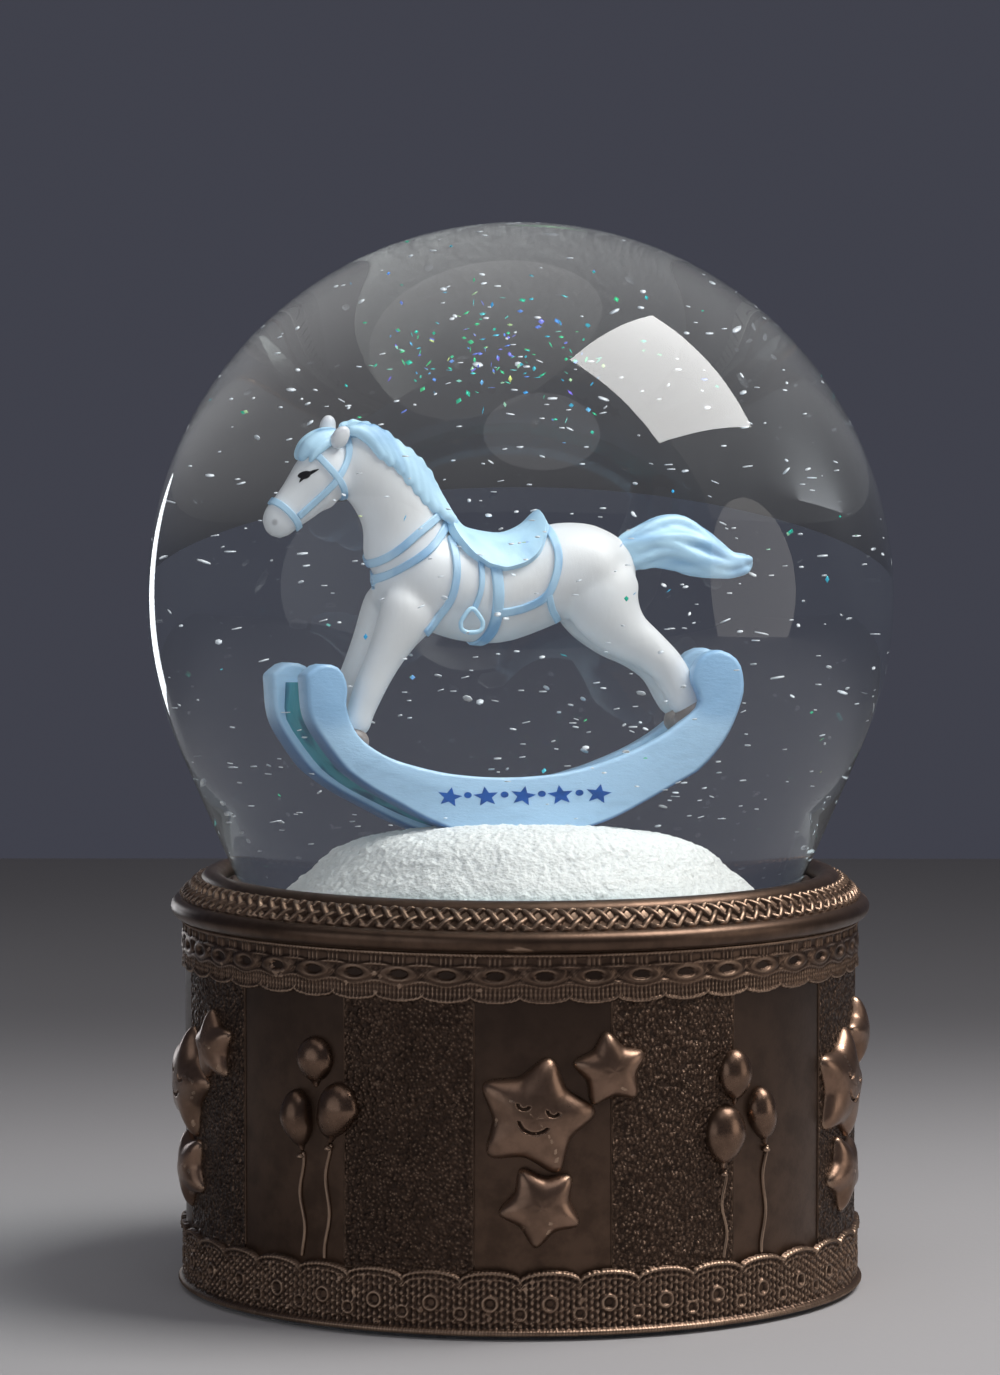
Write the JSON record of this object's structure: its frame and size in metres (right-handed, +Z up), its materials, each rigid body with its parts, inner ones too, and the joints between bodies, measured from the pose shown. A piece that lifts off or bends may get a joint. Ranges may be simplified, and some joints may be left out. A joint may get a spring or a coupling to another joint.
{
  "type": "snow globe",
  "caption": "Musical water globe: glass ball with a rocking horse on a snow mound, on a round cast base with lace trims and raised stars and balloons.",
  "frame": {"origin": "middle of the underside, on the face of the felt ring", "axes": "+Z up along the globe's axis; the front, where the horse's near side shows, faces -Y"},
  "size_m": [0.1, 0.1, 0.1425],
  "materials": {
    "glass": "gloss",
    "liquid": "gloss",
    "stopper_rubber": "matte",
    "sealant": "satin",
    "snow": "matte",
    "horse_paint": "satin",
    "rocker_paint": "satin",
    "antique_bronze": "satin",
    "black_plastic": "matte",
    "felt": "matte",
    "zinc_screw": "satin",
    "zinc_casting": "satin",
    "pressed_steel": "satin",
    "spring_steel": "satin",
    "nylon": "satin",
    "brass": "satin",
    "nickel": "polished"
  },
  "bodies": {
    "globe_and_base": {"glass_globe": "glass", "globe_liquid": "liquid", "rubber_stopper": "stopper_rubber", "neck_sealant": "sealant", "snow_mound": "snow", "horse_figure": "horse_paint", "rocker_frame": "rocker_paint", "base_drum": "antique_bronze", "bottom_cover": "black_plastic", "felt_ring": "felt", "cover_screws": "zinc_screw", "movement_screws": "zinc_screw", "movement_bedplate": "zinc_casting", "spring_housing": "pressed_steel", "mainspring": "spring_steel", "governor_frame": "zinc_casting", "music_comb": "spring_steel", "comb_screws": "brass", "governor_screws": "zinc_screw"},
    "winding_unit": {"winding_key": "nickel", "winding_arbor": "pressed_steel", "crown_gear": "nylon"},
    "cylinder_unit": {"music_cylinder": "brass", "cylinder_spindle": "pressed_steel", "cylinder_pinion": "nylon", "drive_gear": "nylon"},
    "governor_wheel": {"governor_axle": "nylon", "worm_wheel": "nylon"},
    "governor_worm": {"worm_shaft": "pressed_steel", "air_brake": "nylon"}
  },
  "joints": [
    {"name": "key_turn", "type": "hinge", "parent": "globe_and_base", "child": "winding_unit", "pos_m": [0, 0, 0.012], "axis": [0, 0, 1], "range_deg": [0, 1260]},
    {"name": "cylinder_turn", "type": "hinge", "parent": "globe_and_base", "child": "cylinder_unit", "pos_m": [0.02, 0, 0.03185], "axis": [1, 0, 0], "range_deg": [0, 3780]},
    {"name": "governor_wheel_turn", "type": "hinge", "parent": "globe_and_base", "child": "governor_wheel", "pos_m": [0.0305, 0.00617, 0.02668], "axis": [1, 0, 0], "range_deg": [-15120, 0]},
    {"name": "governor_worm_turn", "type": "hinge", "parent": "globe_and_base", "child": "governor_worm", "pos_m": [0.0305, 0.01377, 0.02668], "axis": [0, 0, 1], "range_deg": [0, 362880]}
  ],
  "couplings": [
    {"joint": "cylinder_turn", "follows": "key_turn", "ratio": 3},
    {"joint": "governor_wheel_turn", "follows": "key_turn", "ratio": -12},
    {"joint": "governor_worm_turn", "follows": "key_turn", "ratio": 288}
  ]
}
